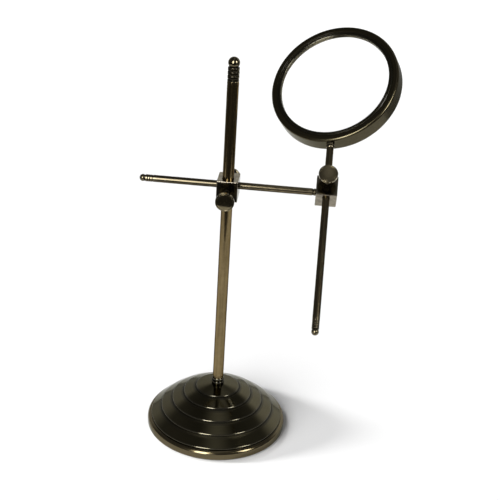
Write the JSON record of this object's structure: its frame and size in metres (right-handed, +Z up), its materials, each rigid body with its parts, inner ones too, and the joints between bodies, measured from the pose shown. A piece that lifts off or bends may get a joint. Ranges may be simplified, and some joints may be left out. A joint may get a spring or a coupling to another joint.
{
  "type": "stand magnifier",
  "caption": "Magnifying lens in a round frame, held by its own rod on a cross arm that clamps to an upright post over a heavy stepped round base; thumb screws lock each setting.",
  "frame": {"origin": "middle of the base's underside, on the post's axis", "axes": "+Z up along the post, +X along the cross arm towards the lens, -Y towards the viewer"},
  "size_m": [0.2251, 0.2266, 0.3661],
  "materials": {
    "dark_bronze": "dark antique patina, satin gloss",
    "bronze": "antique patina, polished",
    "worn_bronze": "antique patina worn lighter on edges",
    "cast_weight": "as cast",
    "plain_steel": "plain",
    "green_felt": "felt",
    "lens_glass": "clear, polished"
  },
  "bodies": {
    "base": {"base_shell": "dark_bronze", "base_rim": "worn_bronze", "base_weight": "cast_weight", "base_plate": "plain_steel", "felt_pad": "green_felt", "post_collar": "dark_bronze"},
    "post": {"post": "bronze", "post_finial": "bronze", "post_washer": "plain_steel", "post_nut": "plain_steel"},
    "post_clamp": {"post_clamp_block": "dark_bronze"},
    "post_screw": {"post_screw_knob": "worn_bronze", "post_screw_stud": "plain_steel"},
    "arm_screw": {"arm_screw_knob": "worn_bronze", "arm_screw_stud": "plain_steel"},
    "arm": {"arm": "bronze", "arm_finial": "bronze"},
    "lens_clamp": {"lens_clamp_block": "dark_bronze"},
    "rod_screw": {"rod_screw_knob": "worn_bronze", "rod_screw_stud": "plain_steel"},
    "rod": {"lens_rod": "bronze", "rod_finial": "bronze", "rod_ferrule": "bronze"},
    "lens": {"lens_frame": "bronze", "lens_retainer": "dark_bronze", "lens_glass": "lens_glass"}
  },
  "joints": [
    {"name": "post_swing", "type": "hinge", "parent": "base", "child": "post", "pos_m": [0, 0, 0], "axis": [0, 0, 1], "continuous": true},
    {"name": "height_slide", "type": "slide", "parent": "post", "child": "post_clamp", "axis": [0, 0, 1], "range_m": [-0.15, 0.085]},
    {"name": "post_screw_turn", "type": "hinge", "parent": "post_clamp", "child": "post_screw", "pos_m": [0, -0.008, 0.2386], "axis": [0, -1, 0], "range_deg": [0, 540]},
    {"name": "arm_screw_turn", "type": "hinge", "parent": "post_clamp", "child": "arm_screw", "pos_m": [0, 0.01575, 0.2425], "axis": [0, 1, 0], "range_deg": [0, 540]},
    {"name": "arm_slide", "type": "slide", "parent": "post_clamp", "child": "arm", "axis": [1, 0, 0], "range_m": [-0.055, 0.055]},
    {"name": "lens_tilt", "type": "hinge", "parent": "arm", "child": "lens_clamp", "pos_m": [0.086, 0.0095, 0.2425], "axis": [1, 0, 0], "continuous": true},
    {"name": "rod_screw_turn", "type": "hinge", "parent": "lens_clamp", "child": "rod_screw", "pos_m": [0.086, 0.00238, 0.25644], "axis": [0, -0.682, 0.7314], "range_deg": [0, 540]},
    {"name": "rod_slide", "type": "slide", "parent": "lens_clamp", "child": "rod", "axis": [0, 0.7314, 0.682], "range_m": [-0.025, 0.105]},
    {"name": "lens_turn", "type": "hinge", "parent": "rod", "child": "lens", "pos_m": [0.086, 0.00302, 0.24945], "axis": [0, 0.7314, 0.682], "continuous": true}
  ]
}
